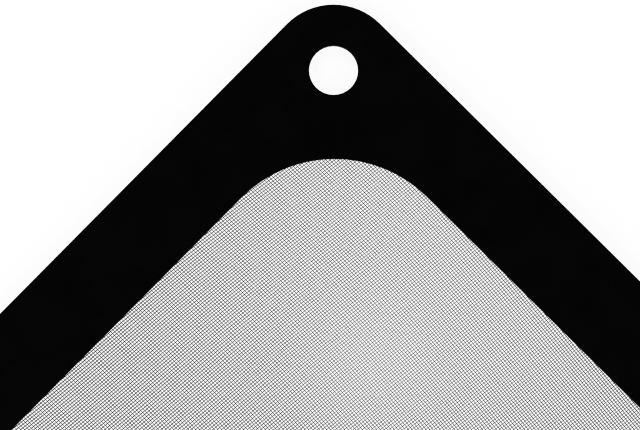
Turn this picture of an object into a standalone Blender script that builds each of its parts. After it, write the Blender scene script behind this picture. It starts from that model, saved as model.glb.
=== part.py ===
"""Fan dust filter for a 120 mm case fan: a woven mesh welded between two die-cut PVC frame sheets.

The filter lies flat with its fan side down. X and Y run along its sides and Z through its
thickness, and the origin is the middle of the underside. Sizes are in metres.
"""

import math

import bmesh
import bpy

MM = 0.001

# Outline that the cutting die gives to both frame sheets
FILTER_SIZE = 120.0 * MM
CORNER_RADIUS = 7.5 * MM
SCREW_INSET = 7.5 * MM
SCREW_HOLE_DIAMETER = 5.6 * MM
BAR_WIDTH = 10.25 * MM
WINDOW_CORNER_RADIUS = 15.0 * MM

# Layers, from the fan side up
REAR_SHEET_UNDER_MESH = 0.40 * MM
FRONT_SHEET_THICKNESS = 0.40 * MM
WELD_LINE = 0.05 * MM
EDGE_BREAK = 0.06 * MM

# Margin of the mesh, which is fused flat in the weld and lies in a recess of the rear sheet
MARGIN_WIDTH = 4.0 * MM
MARGIN_SETBACK = 0.3 * MM
MARGIN_SKIN = 0.02 * MM
RECESS_CLEARANCE = 0.25 * MM

# Plain weave of flat strands: each one passes over and under its neighbours in turn
STRAND_PITCH = 10.0 * MM
STRAND_WIDTH = 2.25 * MM
STRAND_THICKNESS = 0.16 * MM
STRAND_CRIMP = 0.05 * MM
LEVEL_PAST_CROSSING = 0.5 * MM

# The mesh isn't quite square to the frame: its strands lean, and bow a little along their length
WARP_LEAN = math.radians(2.75)
WARP_BOW = 1.18 * MM
WARP_BOW_LENGTH = 108.0 * MM
WARP_BOW_SHIFT = 43.0 * MM
WEFT_LEAN = math.radians(-7.45)
WEFT_BOW = 0.30 * MM
WEFT_BOW_LENGTH = 56.0 * MM
WEFT_BOW_SHIFT = -12.0 * MM

# Straight pieces in each quarter turn of an outline and in a screw hole, and how sharp a smooth edge may be
CORNER_STEPS = 16
HOLE_STEPS = 32
SMOOTH_UP_TO = math.radians(30)

WINDOW_SIZE = FILTER_SIZE - 2 * BAR_WIDTH
HALF_SCREW_SPACING = FILTER_SIZE / 2 - SCREW_INSET
MESH_THICKNESS = STRAND_THICKNESS + 2 * STRAND_CRIMP + 2 * MARGIN_SKIN

MESH_UNDERSIDE = REAR_SHEET_UNDER_MESH + WELD_LINE
MESH_MIDDLE = MESH_UNDERSIDE + MESH_THICKNESS / 2
REAR_SHEET_TOP = MESH_UNDERSIDE + MESH_THICKNESS
FRONT_SHEET_UNDERSIDE = REAR_SHEET_TOP + WELD_LINE


def clear_scene():
    for obj in list(bpy.data.objects):
        bpy.data.objects.remove(obj, do_unlink=True)


def new_collection(name, shown=True):
    collection = bpy.data.collections.new(name)
    collection.hide_render = not shown
    bpy.context.scene.collection.children.link(collection)
    return collection


def plastic(name, colour, roughness):
    material = bpy.data.materials.new(name)
    material.use_nodes = True
    shader = material.node_tree.nodes["Principled BSDF"]
    shader.inputs["Base Color"].default_value = (*colour, 1.0)
    shader.inputs["Roughness"].default_value = roughness
    shader.inputs["Metallic"].default_value = 0.0
    return material


def rounded_square(size, radius, side_steps=1):
    """Outline of a square with round corners, centred on the origin, anticlockwise."""
    reach = size / 2 - radius
    points = []
    for quarter in range(4):
        turn = quarter * math.pi / 2
        along_x, along_y = math.cos(turn), math.sin(turn)
        corner = [
            (reach + radius * math.cos(angle), reach + radius * math.sin(angle))
            for angle in (step / CORNER_STEPS * math.pi / 2 for step in range(CORNER_STEPS + 1))
        ]
        side = [(reach - 2 * reach * step / side_steps, size / 2) for step in range(1, side_steps)]
        points += [(x * along_x - y * along_y, x * along_y + y * along_x) for x, y in corner + side]
    return points


def around_window(offset, side_steps=1):
    """The window's outline, moved outwards into the frame."""
    return rounded_square(WINDOW_SIZE + 2 * offset, WINDOW_CORNER_RADIUS + offset, side_steps)


def screw_holes():
    radius = SCREW_HOLE_DIAMETER / 2
    holes = []
    for side_x in (1, -1):
        for side_y in (1, -1):
            holes.append([
                (
                    side_x * HALF_SCREW_SPACING + radius * math.cos(2 * math.pi * step / HOLE_STEPS),
                    side_y * HALF_SCREW_SPACING + radius * math.sin(2 * math.pi * step / HOLE_STEPS),
                )
                for step in range(HOLE_STEPS)
            ])
    return holes


def mesh_of(obj):
    """The evaluated shape of an object as a plain mesh with its caps welded."""
    bpy.context.view_layer.update()
    graph = bpy.context.evaluated_depsgraph_get()
    mesh = bpy.data.meshes.new_from_object(obj.evaluated_get(graph))
    welded = bmesh.new()
    welded.from_mesh(mesh)
    bmesh.ops.remove_doubles(welded, verts=welded.verts, dist=0.001 * MM)
    bmesh.ops.recalc_face_normals(welded, faces=welded.faces)
    welded.to_mesh(mesh)
    welded.free()
    return mesh


def sheet(name, collection, outlines, underside, thickness, edge_break=0.0):
    """A flat sheet cut to the first outline, with the other outlines punched out of it."""
    curve = bpy.data.curves.new(name + "_outline", "CURVE")
    curve.dimensions = "2D"
    curve.fill_mode = "BOTH"
    curve.extrude = thickness / 2 - edge_break
    curve.bevel_depth = edge_break
    curve.bevel_resolution = 0
    curve.offset = -edge_break
    for outline in outlines:
        spline = curve.splines.new("POLY")
        spline.points.add(len(outline) - 1)
        spline.use_cyclic_u = True
        for point, (x, y) in zip(spline.points, outline):
            point.co = (x, y, 0.0, 1.0)
    drawn = bpy.data.objects.new(name + "_outline", curve)
    collection.objects.link(drawn)
    mesh = mesh_of(drawn)
    mesh.shade_smooth()
    mesh.set_sharp_from_angle(angle=SMOOTH_UP_TO)
    obj = bpy.data.objects.new(name, mesh)
    bpy.data.objects.remove(drawn, do_unlink=True)
    bpy.data.curves.remove(curve)
    obj.location.z = underside + thickness / 2
    collection.objects.link(obj)
    return obj


def boolean(obj, operation, other, self_crossing=False):
    modifier = obj.modifiers.new(operation.lower() + "_" + other.name, "BOOLEAN")
    modifier.operation = operation
    modifier.object = other
    modifier.solver = "EXACT"
    modifier.use_self = self_crossing


def helper(obj):
    """Marks a cutter or a guide, which isn't part of the filter."""
    obj.hide_render = True
    obj.display_type = "WIRE"
    return obj


def front_frame(parts, material):
    outlines = [rounded_square(FILTER_SIZE, CORNER_RADIUS), around_window(0.0), *screw_holes()]
    obj = sheet("front_frame", parts, outlines, FRONT_SHEET_UNDERSIDE, FRONT_SHEET_THICKNESS, EDGE_BREAK)
    obj.data.materials.append(material)
    return obj


def rear_frame(parts, cutters, material):
    """The thicker sheet, with a recess round its window for the margin of the mesh."""
    outlines = [rounded_square(FILTER_SIZE, CORNER_RADIUS), around_window(0.0), *screw_holes()]
    obj = sheet("rear_frame", parts, outlines, 0.0, REAR_SHEET_TOP, EDGE_BREAK)
    recess_outline = around_window(MARGIN_WIDTH + RECESS_CLEARANCE)
    recess_depth = REAR_SHEET_TOP - REAR_SHEET_UNDER_MESH
    recess = sheet("mesh_recess", cutters, [recess_outline], REAR_SHEET_UNDER_MESH, 2 * recess_depth)
    boolean(obj, "DIFFERENCE", helper(recess))
    obj.data.materials.append(material)
    return obj


def bow(distance, size, length, shift):
    return size * math.sin(2 * math.pi * (distance + shift) / length)


def warp_x(number, y):
    """How far right a warp strand runs at y. Warp strands run along Y."""
    return number * STRAND_PITCH + y * math.tan(WARP_LEAN) - bow(y, WARP_BOW, WARP_BOW_LENGTH, WARP_BOW_SHIFT)


def weft_y(number, x):
    """How far up a weft strand runs at x. Weft strands run along X."""
    return number * STRAND_PITCH + x * math.tan(WEFT_LEAN) + bow(x, WEFT_BOW, WEFT_BOW_LENGTH, WEFT_BOW_SHIFT)


def crossing(warp, weft):
    """Where a warp and a weft strand cross, found by going from one to the other in turn."""
    x = warp * STRAND_PITCH
    y = weft * STRAND_PITCH
    for _ in range(8):
        x = warp_x(warp, y)
        y = weft_y(weft, x)
    return x, y


def add_strand(strands, points, across):
    """A flat strip along the points, as wide as a strand."""
    first_side = [strands.verts.new((x - across[0] / 2, y - across[1] / 2, z)) for x, y, z in points]
    edges = [strands.edges.new(pair) for pair in zip(first_side, first_side[1:])]
    made = bmesh.ops.extrude_edge_only(strands, edges=edges)["geom"]
    second_side = [part for part in made if isinstance(part, bmesh.types.BMVert)]
    bmesh.ops.translate(strands, verts=second_side, vec=(*across, 0.0))


def woven_strands(cutters):
    """All strands, level where they cross and sloping in between, as one set of open strips with thickness."""
    reach = WINDOW_SIZE / 2 + MARGIN_WIDTH
    furthest = math.ceil(reach * (1 + abs(math.tan(WEFT_LEAN))) / STRAND_PITCH)
    numbers = range(-furthest, furthest + 1)
    level = STRAND_WIDTH / 2 + LEVEL_PAST_CROSSING
    strands = bmesh.new()
    for number in numbers:
        warp_points = []
        weft_points = []
        for other in numbers:
            over = STRAND_CRIMP if (number + other) % 2 == 0 else -STRAND_CRIMP
            _, y = crossing(number, other)
            warp_points += [(warp_x(number, y + run), y + run, over) for run in (-level, level)]
            x, _ = crossing(other, number)
            weft_points += [(x + run, weft_y(number, x + run), -over) for run in (-level, level)]
        add_strand(strands, warp_points, (STRAND_WIDTH, 0.0))
        add_strand(strands, weft_points, (0.0, STRAND_WIDTH))
    bmesh.ops.recalc_face_normals(strands, faces=strands.faces)
    mesh = bpy.data.meshes.new("woven_strands")
    strands.to_mesh(mesh)
    strands.free()
    obj = helper(bpy.data.objects.new("woven_strands", mesh))
    cutters.objects.link(obj)
    obj.location.z = MESH_MIDDLE
    thickness = obj.modifiers.new("strand_thickness", "SOLIDIFY")
    thickness.thickness = STRAND_THICKNESS
    thickness.offset = 0.0
    return obj


def filter_mesh(parts, cutters, material):
    """The weave, cut off inside its margin and fused to it."""
    side_steps = math.ceil(2 * WINDOW_SIZE / STRAND_PITCH)
    margin_outlines = [around_window(MARGIN_WIDTH), around_window(MARGIN_SETBACK, side_steps)]
    obj = sheet("filter_mesh", parts, margin_outlines, MESH_UNDERSIDE, MESH_THICKNESS)
    trim_outline = around_window((MARGIN_WIDTH + MARGIN_SETBACK) / 2)
    trim = sheet("strand_trim", cutters, [trim_outline], MESH_UNDERSIDE - MESH_THICKNESS, 3 * MESH_THICKNESS)
    strands = woven_strands(cutters)
    boolean(strands, "INTERSECT", helper(trim), self_crossing=True)
    boolean(obj, "UNION", strands, self_crossing=True)
    obj.data.materials.append(material)
    return obj


def main():
    clear_scene()
    parts = new_collection("fan_dust_filter")
    cutters = new_collection("cutters", shown=False)
    frame_plastic = plastic("black_pvc_sheet", (0.012, 0.012, 0.013), 0.55)
    thread_plastic = plastic("black_pvc_thread", (0.016, 0.016, 0.018), 0.40)
    rear_frame(parts, cutters, frame_plastic)
    filter_mesh(parts, cutters, thread_plastic)
    front_frame(parts, frame_plastic)


main()
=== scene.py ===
"""Looks of the fan dust filter: its mesh woven at the true pitch, black PVC sheet, studio and camera.

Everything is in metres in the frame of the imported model: the filter lies flat, its fan side on Z = 0.
"""

import math

import bmesh
import bpy
from mathutils import Matrix, Vector

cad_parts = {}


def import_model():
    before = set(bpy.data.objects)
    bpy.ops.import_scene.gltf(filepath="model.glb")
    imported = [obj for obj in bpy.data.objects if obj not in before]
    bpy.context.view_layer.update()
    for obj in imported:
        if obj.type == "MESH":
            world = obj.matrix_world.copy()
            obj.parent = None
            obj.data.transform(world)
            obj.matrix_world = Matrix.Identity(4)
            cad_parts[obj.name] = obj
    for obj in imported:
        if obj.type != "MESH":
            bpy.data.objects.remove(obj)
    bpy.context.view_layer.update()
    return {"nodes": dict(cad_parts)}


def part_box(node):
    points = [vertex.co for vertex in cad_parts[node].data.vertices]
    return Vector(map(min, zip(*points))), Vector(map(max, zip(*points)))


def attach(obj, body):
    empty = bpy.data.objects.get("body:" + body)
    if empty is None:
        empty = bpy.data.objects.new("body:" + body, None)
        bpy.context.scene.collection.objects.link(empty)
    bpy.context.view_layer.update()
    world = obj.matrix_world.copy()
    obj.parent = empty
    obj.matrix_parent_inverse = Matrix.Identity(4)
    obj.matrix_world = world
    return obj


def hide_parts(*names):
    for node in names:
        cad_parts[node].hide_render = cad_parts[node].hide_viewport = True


MM = 0.001

# Weave: about 80 threads an inch. Warp threads run along Y, over and under the weft threads along X
WARP_PITCH = 0.3158 * MM
WEFT_PITCH = 0.3168 * MM
# Measured across the corners of a thread's section, before it varies over the mesh
THREAD_THICKNESS = 0.0638 * MM
THREAD_SIDES = 4
# How far a thread may lie off its place, as a share of the pitch
SPACING_ERROR = 0.03
WARP_SEED = 3.0
WEFT_SEED = 1007.0
# Height of the warp's waves as a share of the thickness: the threads are pressed into each other
CRIMP_SHARE = 0.8
WARP_PIECES = 5
# The straight weft has a point at every eighth crossing, and a stub of fewer than three points is dropped
WEFT_POINT_STEP = 8
FEWEST_POINTS = 3
# How far past the window's edge the threads are followed into the weld, and where the margin begins
WARP_TUCK = 1.0 * MM
WEFT_TUCK = 2.6 * MM
MARGIN_START = 0.2 * MM

# The mesh isn't square to the frame: its threads lean, and bow a little along their length
WARP_LEAN = math.radians(2.75)
WARP_BOW = 1.18 * MM
WARP_BOW_LENGTH = 108.0 * MM
WARP_BOW_SHIFT = 43.0 * MM
WEFT_LEAN = math.radians(-7.45)
WEFT_BOW = 0.30 * MM
WEFT_BOW_LENGTH = 56.0 * MM
WEFT_BOW_SHIFT = -12.0 * MM
# Rounds in which the crossing of two threads that both stray is found
CROSSING_ROUNDS = 3
# Fine wandering that neighbouring threads share
SWAY = 0.04 * MM
SWAY_LENGTH = 9.0 * MM

# Outlines that the mesh and the window are cut to
WINDOW_SIZE = 99.5 * MM
WINDOW_CORNER_RADIUS = 15.0 * MM
MESH_CORNER_RADIUS = 19.0 * MM
CORNER_STEPS = 16
WELD_DISTANCE = 0.001 * MM

# Near the photographed corner the threads are a little finer
FINE_PLACE = Vector((46.0, 29.0, 0.6)) * MM
FINE_REACH = 45.0 * MM
THICKER_ELSEWHERE = 0.22
# The weft grows thicker towards one side of that corner and the warp towards the other, by these shares
WEFT_DRIFT = 0.17
WARP_DRIFT = -0.17
DRIFT_REACH = 42.0 * MM
# A patch of the threads near the same corner is painted pale: a painted sheen, standing in for light
# reflected off the mesh there
PAINTED_SHEEN_PLACE = Vector((31.6, 25.6, 0.6)) * MM
PAINTED_SHEEN_REACH = 12.5 * MM
PAINTED_SHEEN = 0.45

# Dust: how far a speck and its dense core reach in its cell, and the part of the noise that shows as haze
SPECK_REACH = 0.12
SPECK_CORE = 0.02
HAZE_RANGE = (0.4, 0.7)

# Finishes. Colours are linear with alpha, and a scale is in pattern cells a metre
WHITE = (1.0, 1.0, 1.0, 1.0)
FLOOR_COLOUR = (0.95, 0.95, 0.95, 1.0)
TONE_RANGE = (0.3, 0.7)
SHEET_BLACK = (0.0003, 0.0003, 0.0003, 1.0)
SHEET_CUT_EDGE = (0.003, 0.003, 0.0032, 1.0)
SHEET_DUST = (0.05, 0.05, 0.048, 1.0)
SHEET_ROUGHNESS = (0.27, 0.33)
CUT_EDGE_ROUGHER = 0.25
GRAIN_SCALE = 5200.0
GRAIN_DEPTH = 0.02 * MM
PRESS_SCALE = 260.0
PRESS_SHARE = 0.8
THREAD_BLACK = (0.007, 0.007, 0.012, 1.0)
THREAD_WORN = (0.018, 0.018, 0.028, 1.0)
# colour of the dust on the threads, and of the painted sheen near the corner
THREAD_DUST_AND_SHEEN = (0.25, 0.25, 0.28, 1.0)
THREAD_ROUGHNESS = (0.3, 0.42)
COAT_SCALE = 9000.0
COAT_DEPTH = 0.01 * MM
TONE_SCALE = 90.0
# Upright share of a face's direction at which it counts as flat sheet, and as a cut edge
FLAT_FACE = 0.9
CUT_FACE = 0.3

# Camera: the photograph's corner straight on, from high above with a long lens
PICTURE_CENTRE = Vector((39.69, 41.99, 1.2)) * MM
PICTURE_WIDTH = 72.98 * MM
PICTURE_UP = math.radians(44.72)
LENS = 200.0
SENSOR = 36.0
# A thread is less than a pixel wide, so the usual pixel filter would blur the weave
PIXEL_FILTER_WIDTH = 1.02

# Studio
FLOOR_SIZE = 8.0
FLOOR_GLOW = 0.92
LAMP_DISTANCE = 1.2
LAMP_SIZE = 0.7
LAMP_ELEVATION = math.radians(33)
LAMPS = (("key_lamp", 160, 9.2), ("fill_lamp", 285, 6.2), ("back_lamp", 40, 6.2))
# How high, from 0 at the horizon to 1 overhead, the white walls reach and the dark ceiling begins
WALL_TOP = 0.32
CEILING = 0.66
CEILING_LIGHT = 0.02

NUMBER = "NodeSocketFloat"
WHOLE = "NodeSocketInt"
VECTOR = "NodeSocketVector"


class Tree:
    """Adds nodes to a node tree, with sockets given by name, or by number as _0, _1 and so on."""

    def __init__(self, tree):
        self.tree = tree

    def add(self, kind, settings=None, **values):
        """A new node with these settings, its inputs filled with these values."""
        node = self.tree.nodes.new(kind)
        for name, value in (settings or {}).items():
            setattr(node, name, value)
        for name, value in values.items():
            self.put(node, name, value)
        return node

    def put(self, node, name, value):
        """Fills an input with a value, or with a link from another node's output."""
        socket = node.inputs[int(name[1:])] if name[1:].isdigit() else self.named(node.inputs, name)
        if isinstance(value, bpy.types.Node):
            value = next(output for output in value.outputs if output.enabled)
        if isinstance(value, bpy.types.NodeSocket):
            self.tree.links.new(value, socket)
        else:
            socket.default_value = value

    @staticmethod
    def named(sockets, name):
        """The socket in use that has this name, in which _ stands for a space."""
        wanted = name.replace("_", " ").lower()
        return next(socket for socket in sockets if socket.enabled and socket.name.lower() == wanted)

    def math(self, operation, first, second=0.0, third=0.0):
        return self.add("ShaderNodeMath", {"operation": operation}, _0=first, _1=second, _2=third)

    def vector(self, operation, first, second=None):
        node = self.add("ShaderNodeVectorMath", {"operation": operation}, _0=first)
        if second is not None:
            self.put(node, "scale" if operation == "SCALE" else "_1", second)
        return node

    def ramp(self, value, start, end, low, high, smooth=False):
        """A value that goes from low to high, and no further, as another goes from start to end."""
        settings = {"interpolation_type": "SMOOTHSTEP" if smooth else "LINEAR"}
        return self.add("ShaderNodeMapRange", settings, _0=value, _1=start, _2=end, _3=low, _4=high)


def new_group(name, kind, inputs, outputs):
    """A node group with these inputs and outputs, as (tree, its inputs, its output node)."""
    group = bpy.data.node_groups.new(name, kind)
    for label, socket in inputs.items():
        group.interface.new_socket(label, in_out="INPUT", socket_type=socket)
    for label, socket in outputs.items():
        group.interface.new_socket(label, in_out="OUTPUT", socket_type=socket)
    tree = Tree(group)
    return tree, tree.add("NodeGroupInput").outputs, tree.add("NodeGroupOutput")


def spacing_group():
    """Where a thread lies in its row: its number times the pitch, a little off by chance."""
    tree, size, result = new_group(
        "thread_spacing", "GeometryNodeTree",
        {"Number": NUMBER, "Pitch": NUMBER, "Spacing Error": NUMBER, "Seed": NUMBER}, {"Place": NUMBER},
    )
    number = tree.math("ROUND", size["Number"])
    draw = tree.math("ADD", number, size["Seed"])
    chance = tree.add("ShaderNodeTexWhiteNoise", {"noise_dimensions": "1D"}, w=draw).outputs["Value"]
    chance = tree.math("MULTIPLY_ADD", chance, 2.0, -1.0)
    placed = tree.math("MULTIPLY_ADD", chance, size["Spacing Error"], number)
    tree.put(result, "place", tree.math("MULTIPLY", placed, size["Pitch"]))
    return tree.tree


def course_group():
    """How far a thread has strayed sideways at a distance along it: a lean and a slight bow."""
    tree, size, result = new_group(
        "thread_course", "GeometryNodeTree",
        {"Distance": NUMBER, "Lean": NUMBER, "Bow": NUMBER, "Bow Length": NUMBER, "Bow Shift": NUMBER},
        {"Aside": NUMBER},
    )
    leant = tree.math("MULTIPLY", size["Distance"], tree.math("TANGENT", size["Lean"]))
    phase = tree.math("ADD", size["Distance"], size["Bow Shift"])
    phase = tree.math("DIVIDE", phase, size["Bow Length"])
    wave = tree.math("SINE", tree.math("MULTIPLY", phase, 2 * math.pi))
    tree.put(result, "aside", tree.math("MULTIPLY_ADD", wave, size["Bow"], leant))
    return tree.tree


def weave_tree():
    """Geometry nodes that weave one set of threads through the other and cut it to a rounded square.

    The threads are laid out in thread numbers first, X the number of the warp thread and Y that of the
    weft thread, and each point is then moved to the place where these two threads cross.
    """
    course, spacing = course_group(), spacing_group()
    inputs = {
        "Threads": WHOLE, "First Thread": WHOLE, "Points": WHOLE, "Point Step": WHOLE,
        "Along": VECTOR, "Across": VECTOR,
        "Thickness": NUMBER, "Sides": WHOLE, "Height": NUMBER, "Crimp": NUMBER,
        "Warp Pitch": NUMBER, "Warp Seed": NUMBER, "Warp Lean": NUMBER, "Warp Bow": NUMBER,
        "Warp Bow Length": NUMBER, "Warp Bow Shift": NUMBER,
        "Weft Pitch": NUMBER, "Weft Seed": NUMBER, "Weft Lean": NUMBER, "Weft Bow": NUMBER,
        "Weft Bow Length": NUMBER, "Weft Bow Shift": NUMBER,
        "Spacing Error": NUMBER, "Sway": NUMBER, "Sway Length": NUMBER,
        "Fine Place": VECTOR, "Fine Reach": NUMBER, "Thicker Elsewhere": NUMBER,
        "Drift": NUMBER, "Drift Reach": NUMBER,
        "Cut Size": NUMBER, "Corner Radius": NUMBER, "Fewest Points": WHOLE,
        "Material": "NodeSocketMaterial",
    }
    outputs = {"Mesh": "NodeSocketGeometry"}
    tree, size, result = new_group("woven_threads", "GeometryNodeTree", inputs, outputs)
    tree.tree.is_modifier = True

    # one thread with its points at the crossings, and a row of such threads
    reach = tree.math("MULTIPLY", tree.math("SUBTRACT", size["Points"], 1.0), size["Point Step"])
    end = tree.vector("SCALE", size["Along"], tree.math("MULTIPLY", reach, 0.5))
    start = tree.vector("SCALE", end, -1.0)
    thread = tree.add("GeometryNodeCurvePrimitiveLine", start=start, end=end)
    thread = tree.add("GeometryNodeResampleCurve", curve=thread, count=size["Points"])
    first = tree.vector("SCALE", size["Across"], size["First Thread"])
    row = tree.add(
        "GeometryNodeMeshLine", count=size["Threads"], start_location=first, offset=size["Across"]
    )
    laid = tree.add("GeometryNodeInstanceOnPoints", points=row, instance=thread)
    laid = tree.add("GeometryNodeRealizeInstances", geometry=laid)

    # each point to its crossing, in a few rounds, because where threads meet decides how far they stray
    numbers = tree.add("ShaderNodeSeparateXYZ", vector=tree.add("GeometryNodeInputPosition")).outputs

    def at(name, number):
        return tree.add(
            "GeometryNodeGroup", {"node_tree": spacing},
            number=number, pitch=size[name + " Pitch"],
            spacing_error=size["Spacing Error"], seed=size[name + " Seed"],
        )

    def aside(name, distance):
        return tree.add(
            "GeometryNodeGroup", {"node_tree": course},
            distance=distance, lean=size[name + " Lean"], bow=size[name + " Bow"],
            bow_length=size[name + " Bow Length"], bow_shift=size[name + " Bow Shift"],
        )

    warp_at, weft_at = at("Warp", numbers["X"]), at("Weft", numbers["Y"])
    x, y = warp_at, weft_at
    for _ in range(CROSSING_ROUNDS):
        x = tree.math("ADD", warp_at, aside("Warp", y))
        y = tree.math("ADD", weft_at, aside("Weft", x))
    turn = tree.math("MULTIPLY", tree.math("ADD", numbers["X"], numbers["Y"]), math.pi)
    z = tree.math("MULTIPLY_ADD", tree.math("COSINE", turn), size["Crimp"], size["Height"])
    crossing = tree.add("ShaderNodeCombineXYZ", x=x, y=y, z=z)
    laid = tree.add("GeometryNodeSetPosition", geometry=laid, position=crossing)

    # the wandering, sideways only, from a noise whose middle is 0.5
    place = tree.add("GeometryNodeInputPosition")
    sway_scale = tree.math("DIVIDE", 1.0, size["Sway Length"])
    sway = tree.add("ShaderNodeTexNoise", vector=place, scale=sway_scale, detail=1.0).outputs["Color"]
    sway = tree.vector("SCALE", tree.vector("SUBTRACT", sway, (0.5, 0.5, 0.5)), 2.0)
    sway = tree.vector("SCALE", tree.vector("MULTIPLY", sway, (1.0, 1.0, 0.0)), size["Sway"])
    laid = tree.add("GeometryNodeSetPosition", geometry=laid, offset=sway)

    # the cut: what lies outside the rounded square goes, and so does what is left as a stub
    core = tree.math("SUBTRACT", tree.math("MULTIPLY", size["Cut Size"], 0.5), size["Corner Radius"])
    core = tree.add("ShaderNodeCombineXYZ", x=core, y=core, z=core)
    beyond = tree.vector("SUBTRACT", tree.vector("ABSOLUTE", place), core)
    beyond = tree.vector("LENGTH", tree.vector("MAXIMUM", beyond, (0.0, 0.0, 0.0))).outputs["Value"]
    outside = tree.add(
        "FunctionNodeCompare", {"operation": "GREATER_THAN"}, a=beyond, b=size["Corner Radius"]
    )
    laid = tree.add("GeometryNodeDeleteGeometry", {"domain": "POINT"}, geometry=laid, selection=outside)
    count = tree.add("GeometryNodeSplineLength").outputs["Point Count"]
    stub = tree.add(
        "FunctionNodeCompare", {"operation": "LESS_THAN", "data_type": "INT"},
        _2=count, _3=size["Fewest Points"],
    )
    laid = tree.add("GeometryNodeDeleteGeometry", {"domain": "CURVE"}, geometry=laid, selection=stub)

    # the section: it grows away from the fine place, and drifts from one side of the corner to the other
    away = tree.vector("DISTANCE", place, size["Fine Place"]).outputs["Value"]
    away = tree.ramp(away, 0.0, size["Fine Reach"], 0.0, 1.0, smooth=True)
    growth = tree.math("MULTIPLY_ADD", away, size["Thicker Elsewhere"], 1.0)
    plan = tree.add("ShaderNodeSeparateXYZ", vector=place).outputs
    side = tree.math("SUBTRACT", plan["Y"], plan["X"])
    side = tree.math("DIVIDE", side, size["Drift Reach"])
    side = tree.ramp(side, -1.0, 1.0, -1.0, 1.0)
    growth = tree.math("MULTIPLY", growth, tree.math("MULTIPLY_ADD", side, size["Drift"], 1.0))
    radius = tree.math("MULTIPLY", size["Thickness"], 0.5)
    section = tree.add("GeometryNodeCurvePrimitiveCircle", resolution=size["Sides"], radius=radius)
    threads = tree.add(
        "GeometryNodeCurveToMesh", curve=laid, profile_curve=section, scale=growth, fill_caps=True
    )
    threads = tree.add("GeometryNodeSetShadeSmooth", geometry=threads, shade_smooth=True)
    threads = tree.add("GeometryNodeRealizeInstances", geometry=threads)
    threads = tree.add("GeometryNodeSetMaterial", geometry=threads, material=size["Material"])
    tree.put(result, "mesh", threads.outputs["Geometry"])
    return tree.tree


def mesh_part(name, mesh):
    """A piece of the mesh, which takes the place of the coarse strands of the solid."""
    mesh.name = name
    piece = bpy.data.objects.new(name, mesh)
    bpy.context.scene.collection.objects.link(piece)
    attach(piece, "root")
    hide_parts("filter_mesh")


def plain_mesh(maker):
    """What an object comes to when it is evaluated, as a mesh of its own. The object itself goes."""
    bpy.context.scene.collection.objects.link(maker)
    bpy.context.view_layer.update()
    graph = bpy.context.evaluated_depsgraph_get()
    mesh = bpy.data.meshes.new_from_object(maker.evaluated_get(graph))
    bpy.data.objects.remove(maker, do_unlink=True)
    return mesh


def thread_set(group, name, values):
    """Runs the weave with these inputs and keeps the result as a plain mesh."""
    maker = bpy.data.objects.new("maker", bpy.data.meshes.new("maker"))
    modifier = maker.modifiers.new("weave", "NODES")
    modifier.node_group = group
    for item in group.interface.items_tree:
        if item.in_out == "INPUT":
            modifier[item.identifier] = values[item.name]
    mesh_part(name, plain_mesh(maker))


def half_count(cut, lean, bow, pitch):
    """How many threads lie on each side of the middle one, so that they reach past the cut's corners."""
    return math.ceil((cut / 2 * (1 + math.tan(abs(lean))) + bow) / pitch)


def woven_mesh(material):
    """Warp and weft at their true pitch, cut off inside the weld, with the warp in several pieces."""
    low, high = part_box("filter_mesh")
    warp_cut = WINDOW_SIZE + 2 * WARP_TUCK
    weft_cut = WINDOW_SIZE + 2 * WEFT_TUCK
    half_warp = half_count(weft_cut, WARP_LEAN, WARP_BOW, WARP_PITCH)
    half_weft = half_count(weft_cut, WEFT_LEAN, WEFT_BOW, WEFT_PITCH)
    shared = {
        "Thickness": THREAD_THICKNESS, "Sides": THREAD_SIDES, "Height": (low.z + high.z) / 2,
        "Warp Pitch": WARP_PITCH, "Warp Seed": WARP_SEED, "Warp Lean": WARP_LEAN, "Warp Bow": -WARP_BOW,
        "Warp Bow Length": WARP_BOW_LENGTH, "Warp Bow Shift": WARP_BOW_SHIFT,
        "Weft Pitch": WEFT_PITCH, "Weft Seed": WEFT_SEED, "Weft Lean": WEFT_LEAN, "Weft Bow": WEFT_BOW,
        "Weft Bow Length": WEFT_BOW_LENGTH, "Weft Bow Shift": WEFT_BOW_SHIFT,
        "Spacing Error": SPACING_ERROR, "Sway": SWAY, "Sway Length": SWAY_LENGTH,
        "Fine Place": FINE_PLACE, "Fine Reach": FINE_REACH, "Thicker Elsewhere": THICKER_ELSEWHERE,
        "Drift Reach": DRIFT_REACH, "Fewest Points": FEWEST_POINTS, "Material": material,
    }
    group = weave_tree()
    threads = math.ceil((2 * half_warp + 1) / WARP_PIECES)
    for number in range(WARP_PIECES):
        thread_set(group, f"warp_threads_{number + 1}", {
            **shared, "Threads": threads, "First Thread": number * threads - half_warp,
            "Points": 2 * half_weft + 1, "Point Step": 1,
            "Along": (0.0, 1.0, 0.0), "Across": (1.0, 0.0, 0.0),
            "Crimp": CRIMP_SHARE * THREAD_THICKNESS, "Drift": WARP_DRIFT,
            "Cut Size": warp_cut, "Corner Radius": WINDOW_CORNER_RADIUS + WARP_TUCK,
        })
    points = 2 * math.ceil(half_warp / WEFT_POINT_STEP) + 1
    thread_set(group, "weft_threads", {
        **shared, "Threads": 2 * half_weft + 1, "First Thread": -half_weft,
        "Points": points, "Point Step": WEFT_POINT_STEP,
        "Along": (1.0, 0.0, 0.0), "Across": (0.0, 1.0, 0.0),
        "Crimp": 0.0, "Drift": WEFT_DRIFT,
        "Cut Size": weft_cut, "Corner Radius": WINDOW_CORNER_RADIUS + WEFT_TUCK,
    })


def rounded_square(size, radius):
    """Points of a square outline with round corners, once round and counter-clockwise."""
    reach = size / 2 - radius
    steps = 4 * CORNER_STEPS
    points = []
    for quarter in range(4):
        centre_x = reach if quarter in (0, 3) else -reach
        centre_y = reach if quarter in (0, 1) else -reach
        for step in range(CORNER_STEPS + 1):
            angle = 2 * math.pi * (quarter * CORNER_STEPS + step) / steps
            points.append((centre_x + radius * math.cos(angle), centre_y + radius * math.sin(angle)))
    return points


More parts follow.
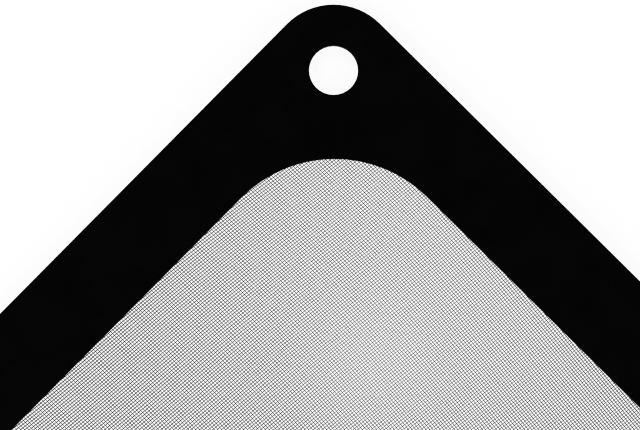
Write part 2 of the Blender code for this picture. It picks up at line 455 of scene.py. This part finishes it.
def mesh_margin(material):
    """Margin of the mesh, fused flat in the weld between the two sheets."""
    low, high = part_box("filter_mesh")
    curve = bpy.data.curves.new("mesh_margin", "CURVE")
    curve.dimensions = "2D"
    curve.fill_mode = "BOTH"
    curve.extrude = (high.z - low.z) / 2
    outer = (high.x - low.x, MESH_CORNER_RADIUS)
    inner = (WINDOW_SIZE + 2 * MARGIN_START, WINDOW_CORNER_RADIUS + MARGIN_START)
    for size, radius in (outer, inner):
        points = rounded_square(size, radius)
        spline = curve.splines.new("POLY")
        spline.points.add(len(points) - 1)
        for point, (x, y) in zip(spline.points, points):
            point.co = (x, y, 0.0, 1.0)
        spline.use_cyclic_u = True
    mesh = plain_mesh(bpy.data.objects.new("maker", curve))
    welded = bmesh.new()
    welded.from_mesh(mesh)
    bmesh.ops.remove_doubles(welded, verts=welded.verts, dist=WELD_DISTANCE)
    welded.to_mesh(mesh)
    welded.free()
    mesh.transform(Matrix.Translation((0.0, 0.0, (low.z + high.z) / 2)))
    mesh.materials.clear()
    mesh.materials.append(material)
    mesh_part("mesh_margin", mesh)


def dust_group():
    """Sparse pale specks and a broad haze of fine dust, as a mask from 0 to 1."""
    tree, size, result = new_group(
        "dust", "ShaderNodeTree",
        {"Speck Scale": NUMBER, "Speck Share": NUMBER, "Haze Scale": NUMBER, "Haze": NUMBER},
        {"Mask": NUMBER},
    )
    place = tree.add("ShaderNodeTexCoord").outputs["Object"]
    cells = tree.add("ShaderNodeTexVoronoi", {"feature": "F1"}, vector=place, scale=size["Speck Scale"])
    near = tree.ramp(cells.outputs["Distance"], SPECK_REACH, SPECK_CORE, 0.0, 1.0)
    chosen = tree.add("ShaderNodeSeparateColor", color=cells.outputs["Color"]).outputs["Red"]
    specks = tree.math("MULTIPLY", near, tree.math("LESS_THAN", chosen, size["Speck Share"]))
    haze = tree.add("ShaderNodeTexNoise", vector=place, scale=size["Haze Scale"], detail=4.0)
    haze = tree.math("MULTIPLY", tree.ramp(haze.outputs["Fac"], *HAZE_RANGE, 0.0, 1.0), size["Haze"])
    tree.put(result, "mask", tree.math("MAXIMUM", specks, haze))
    return tree.tree


def new_material(name, **values):
    """A material with a Principled BSDF, as (material, tree, shader)."""
    material = bpy.data.materials.new(name)
    material.use_nodes = True
    tree = Tree(material.node_tree)
    shader = material.node_tree.nodes["Principled BSDF"]
    for label, value in values.items():
        tree.put(shader, label, value)
    return material, tree, shader


def mix_colour(tree, share, first, second):
    """A colour on its way from the first to the second, by a share that changes over the surface."""
    return tree.add("ShaderNodeMix", {"data_type": "RGBA"}, _0=share, a=first, b=second)


def sheet_material(dust):
    """Black calendered PVC sheet: a fine matte grain, duller cut edges and a few specks of dust."""
    material, tree, shader = new_material("black_pvc_sheet", specular_ior_level=0.14)
    place = tree.add("ShaderNodeTexCoord").outputs["Object"]
    grain = tree.add("ShaderNodeTexNoise", vector=place, scale=GRAIN_SCALE, detail=3.0, roughness=0.6)
    press = tree.add("ShaderNodeTexNoise", vector=place, scale=PRESS_SCALE, detail=3.0).outputs["Fac"]
    height = tree.math("MULTIPLY_ADD", press, PRESS_SHARE, grain.outputs["Fac"])
    bump = tree.add("ShaderNodeBump", strength=0.25, distance=GRAIN_DEPTH, height=height)
    tree.put(shader, "normal", bump)

    facing = tree.add("ShaderNodeNewGeometry").outputs["True Normal"]
    upright = tree.math("ABSOLUTE", tree.add("ShaderNodeSeparateXYZ", vector=facing).outputs["Z"])
    cut = tree.ramp(upright, FLAT_FACE, CUT_FACE, 0.0, 1.0)
    specks = tree.add(
        "ShaderNodeGroup", {"node_tree": dust},
        speck_scale=420.0, speck_share=0.02, haze_scale=30.0, haze=0.002,
    )
    colour = mix_colour(tree, cut, SHEET_BLACK, SHEET_CUT_EDGE)
    tree.put(shader, "base color", mix_colour(tree, specks, colour, SHEET_DUST))
    rough = tree.ramp(press, *TONE_RANGE, *SHEET_ROUGHNESS)
    tree.put(shader, "roughness", tree.math("MULTIPLY_ADD", cut, CUT_EDGE_ROUGHER, rough))
    return material


def thread_material(dust):
    """Black coated thread with a soft sheen, a few pale specks and a haze of dust, and a patch painted
    pale near the corner as a painted sheen.
    """
    material, tree, shader = new_material("black_pvc_thread", specular_ior_level=0.4)
    place = tree.add("ShaderNodeTexCoord").outputs["Object"]
    coat = tree.add("ShaderNodeTexNoise", vector=place, scale=COAT_SCALE, detail=3.0)
    tree.put(shader, "normal", tree.add("ShaderNodeBump", strength=0.3, distance=COAT_DEPTH, height=coat))
    tone = tree.add("ShaderNodeTexNoise", vector=place, scale=TONE_SCALE, detail=5.0).outputs["Fac"]
    colour = mix_colour(tree, tone, THREAD_BLACK, THREAD_WORN)
    # painted sheen: the threads are painted paler round one place, for light reflected off the mesh, and
    # the dust specks and haze are added on top
    away = tree.vector("DISTANCE", place, PAINTED_SHEEN_PLACE).outputs["Value"]
    pale = tree.ramp(away, 0.0, PAINTED_SHEEN_REACH, PAINTED_SHEEN, 0.0, smooth=True)
    specks = tree.add(
        "ShaderNodeGroup", {"node_tree": dust},
        speck_scale=900.0, speck_share=0.03, haze_scale=60.0, haze=0.06,
    )
    pale = tree.math("MAXIMUM", pale, specks)
    tree.put(shader, "base color", mix_colour(tree, pale, colour, THREAD_DUST_AND_SHEEN))
    tree.put(shader, "roughness", tree.ramp(tone, *TONE_RANGE, *THREAD_ROUGHNESS))
    return material


def seen_as_background(tree):
    """1 for what is seen directly, in a mirror or through glass, and 0 for light that falls on things."""
    path = tree.add("ShaderNodeLightPath").outputs
    seen = tree.math("MAXIMUM", path["Is Camera Ray"], path["Is Glossy Ray"])
    return tree.math("MAXIMUM", seen, path["Is Transmission Ray"])


def white_floor():
    """A plain white floor, which keeps a faint shadow of the filter."""
    material, tree, shader = new_material(
        "white_floor", base_color=FLOOR_COLOUR, roughness=1.0, specular_ior_level=0.0
    )
    glow = tree.add("ShaderNodeEmission", color=WHITE, strength=1.0)
    share = tree.math("MULTIPLY", seen_as_background(tree), FLOOR_GLOW)
    mixed = tree.add("ShaderNodeMixShader", _0=share, _1=shader.outputs["BSDF"], _2=glow)
    tree.put(material.node_tree.nodes["Material Output"], "surface", mixed)
    mesh = bpy.data.meshes.new("floor")
    half = FLOOR_SIZE / 2
    corners = [(-half, -half, 0.0), (half, -half, 0.0), (half, half, 0.0), (-half, half, 0.0)]
    mesh.from_pydata(corners, [], [(0, 1, 2, 3)])
    mesh.materials.append(material)
    floor = bpy.data.objects.new("floor", mesh)
    bpy.context.scene.collection.objects.link(floor)


def studio_world():
    """White walls all round and a dark ceiling, so a flat black face seen from above stays black."""
    world = bpy.data.worlds.new("studio")
    bpy.context.scene.world = world
    world.use_nodes = True
    tree = Tree(world.node_tree)
    way = tree.add("ShaderNodeTexCoord").outputs["Generated"]
    up = tree.add("ShaderNodeSeparateXYZ", vector=way).outputs["Z"]
    back = world.node_tree.nodes["Background"]
    tree.put(back, "color", WHITE)
    tree.put(back, "strength", tree.ramp(up, WALL_TOP, CEILING, 1.0, CEILING_LIGHT, smooth=True))


def lamps():
    """Soft boxes low round the filter, aimed at it."""
    flat = LAMP_DISTANCE * math.cos(LAMP_ELEVATION)
    height = LAMP_DISTANCE * math.sin(LAMP_ELEVATION)
    for name, azimuth, power in LAMPS:
        light = bpy.data.lights.new(name, "AREA")
        light.shape = "DISK"
        light.size = LAMP_SIZE
        light.energy = power
        lamp = bpy.data.objects.new(name, light)
        turn = math.radians(azimuth)
        lamp.location = (flat * math.cos(turn), flat * math.sin(turn), height)
        lamp.rotation_euler = (-lamp.location).to_track_quat("-Z", "Y").to_euler()
        bpy.context.scene.collection.objects.link(lamp)


def camera():
    """The photograph's view, and how its image is made from the samples."""
    data = bpy.data.cameras.new("camera")
    data.lens = LENS
    data.sensor_width = SENSOR
    data.clip_start = 0.01
    data.clip_end = 20.0
    view = bpy.data.objects.new("camera", data)
    view.location = PICTURE_CENTRE + Vector((0.0, 0.0, PICTURE_WIDTH * LENS / SENSOR))
    view.rotation_euler = (0.0, 0.0, PICTURE_UP - math.pi / 2)
    bpy.context.scene.collection.objects.link(view)
    scene = bpy.context.scene
    scene.camera = view
    scene.view_settings.view_transform = "Standard"
    # the denoiser would smear threads that are less than a pixel wide
    scene.cycles.use_denoising = False
    scene.cycles.filter_width = PIXEL_FILTER_WIDTH


def main():
    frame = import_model()
    dust = dust_group()
    sheet = sheet_material(dust)
    for name in ("front_frame", "rear_frame"):
        materials = frame["nodes"][name].data.materials
        materials.clear()
        materials.append(sheet)
    thread = thread_material(dust)
    woven_mesh(thread)
    mesh_margin(thread)
    white_floor()
    studio_world()
    lamps()
    camera()


main()
